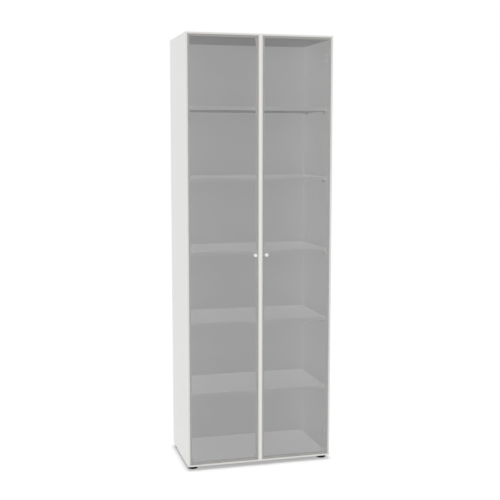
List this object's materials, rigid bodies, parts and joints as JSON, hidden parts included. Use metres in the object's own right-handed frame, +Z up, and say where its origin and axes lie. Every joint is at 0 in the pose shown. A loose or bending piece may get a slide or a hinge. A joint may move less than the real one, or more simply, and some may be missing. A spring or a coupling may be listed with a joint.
{
  "type": "glazed office cupboard",
  "caption": "Tall white storage cupboard on low levelling feet, with shelves behind a pair of hinged tinted glass doors in narrow frames, each with a round knob.",
  "frame": {"origin": "on the floor, under the middle of the whole object's box, knobs included", "axes": "+X to the right seen from the front, +Y to the back, +Z up; the doors face -Y"},
  "size_m": [0.8, 0.472, 2.32],
  "materials": {
    "white_board": "satin",
    "white_frame": "satin",
    "tinted_glass": "gloss",
    "glazing_tape": "matte",
    "hinge_steel": "satin",
    "zinc_steel": "satin",
    "cast_alloy": "matte",
    "knob_lacquer": "satin",
    "clear_plastic": "gloss",
    "white_plastic": "satin",
    "black_plastic": "matte",
    "silicone": "satin",
    "magnet": "matte",
    "beech": "matte"
  },
  "bodies": {
    "carcass": {"left_side_panel": "white_board", "right_side_panel": "white_board", "top_panel": "white_board", "bottom_panel": "white_board", "back_panel": "white_board", "shelf_1": "white_board", "shelf_2": "white_board", "shelf_3": "white_board", "shelf_4": "white_board", "shelf_5": "white_board", "shelf_supports": "zinc_steel", "carcass_dowels": "beech", "cam_housings": "cast_alloy", "cam_bolts": "zinc_steel", "left_hinge_arms": "hinge_steel", "right_hinge_arms": "hinge_steel", "hinge_plate_screws": "hinge_steel", "catch_housings": "white_plastic", "catch_magnets": "magnet", "foot_sockets": "zinc_steel", "foot_hole_caps": "white_plastic"},
    "left_door": {"left_door_hinge_stile": "white_frame", "left_door_meeting_stile": "white_frame", "left_door_top_rail": "white_frame", "left_door_bottom_rail": "white_frame", "left_door_corner_brackets": "cast_alloy", "left_door_frame_screws": "zinc_steel", "left_door_glass": "tinted_glass", "left_door_glazing_tape": "glazing_tape", "left_door_hinge_cups": "hinge_steel", "left_door_hinge_pins": "zinc_steel", "left_door_knob": "knob_lacquer", "left_door_knob_washers": "clear_plastic", "left_door_knob_screw": "zinc_steel", "left_door_strike_plates": "zinc_steel", "left_door_bumpers": "silicone"},
    "right_door": {"right_door_hinge_stile": "white_frame", "right_door_meeting_stile": "white_frame", "right_door_top_rail": "white_frame", "right_door_bottom_rail": "white_frame", "right_door_corner_brackets": "cast_alloy", "right_door_frame_screws": "zinc_steel", "right_door_glass": "tinted_glass", "right_door_glazing_tape": "glazing_tape", "right_door_hinge_cups": "hinge_steel", "right_door_hinge_pins": "zinc_steel", "right_door_knob": "knob_lacquer", "right_door_knob_washers": "clear_plastic", "right_door_knob_screw": "zinc_steel", "right_door_strike_plates": "zinc_steel", "right_door_bumpers": "silicone"},
    "front_left_foot": {"front_left_foot_pad": "black_plastic"},
    "front_left_stem": {"front_left_foot_stem": "zinc_steel"},
    "front_right_foot": {"front_right_foot_pad": "black_plastic"},
    "front_right_stem": {"front_right_foot_stem": "zinc_steel"},
    "rear_left_foot": {"rear_left_foot_pad": "black_plastic"},
    "rear_left_stem": {"rear_left_foot_stem": "zinc_steel"},
    "rear_right_foot": {"rear_right_foot_pad": "black_plastic"},
    "rear_right_stem": {"rear_right_foot_stem": "zinc_steel"}
  },
  "joints": [
    {"name": "left_door_swing", "type": "hinge", "parent": "carcass", "child": "left_door", "pos_m": [-0.3945, -0.206, 1.17], "axis": [0, 0, -1], "range_deg": [0, 100]},
    {"name": "right_door_swing", "type": "hinge", "parent": "carcass", "child": "right_door", "pos_m": [0.3945, -0.206, 1.17], "axis": [0, 0, 1], "range_deg": [0, 100]},
    {"name": "front_left_foot_slide", "type": "slide", "parent": "carcass", "child": "front_left_foot", "axis": [0, 0, -1], "range_m": [-0.0036, 0.0101]},
    {"name": "front_left_stem_turn", "type": "hinge", "parent": "front_left_foot", "child": "front_left_stem", "pos_m": [-0.367, -0.167, 0.011], "axis": [0, 0, -1], "range_deg": [-840, 2400]},
    {"name": "front_right_foot_slide", "type": "slide", "parent": "carcass", "child": "front_right_foot", "axis": [0, 0, -1], "range_m": [-0.0036, 0.0101]},
    {"name": "front_right_stem_turn", "type": "hinge", "parent": "front_right_foot", "child": "front_right_stem", "pos_m": [0.367, -0.167, 0.011], "axis": [0, 0, -1], "range_deg": [-840, 2400]},
    {"name": "rear_left_foot_slide", "type": "slide", "parent": "carcass", "child": "rear_left_foot", "axis": [0, 0, -1], "range_m": [-0.0036, 0.0101]},
    {"name": "rear_left_stem_turn", "type": "hinge", "parent": "rear_left_foot", "child": "rear_left_stem", "pos_m": [-0.367, 0.196, 0.011], "axis": [0, 0, -1], "range_deg": [-840, 2400]},
    {"name": "rear_right_foot_slide", "type": "slide", "parent": "carcass", "child": "rear_right_foot", "axis": [0, 0, -1], "range_m": [-0.0036, 0.0101]},
    {"name": "rear_right_stem_turn", "type": "hinge", "parent": "rear_right_foot", "child": "rear_right_stem", "pos_m": [0.367, 0.196, 0.011], "axis": [0, 0, -1], "range_deg": [-840, 2400]}
  ],
  "couplings": [
    {"joint": "front_left_foot_slide", "follows": "front_left_stem_turn", "m_per_rad": 0.00023873},
    {"joint": "front_right_foot_slide", "follows": "front_right_stem_turn", "m_per_rad": 0.00023873},
    {"joint": "rear_left_foot_slide", "follows": "rear_left_stem_turn", "m_per_rad": 0.00023873},
    {"joint": "rear_right_foot_slide", "follows": "rear_right_stem_turn", "m_per_rad": 0.00023873}
  ]
}
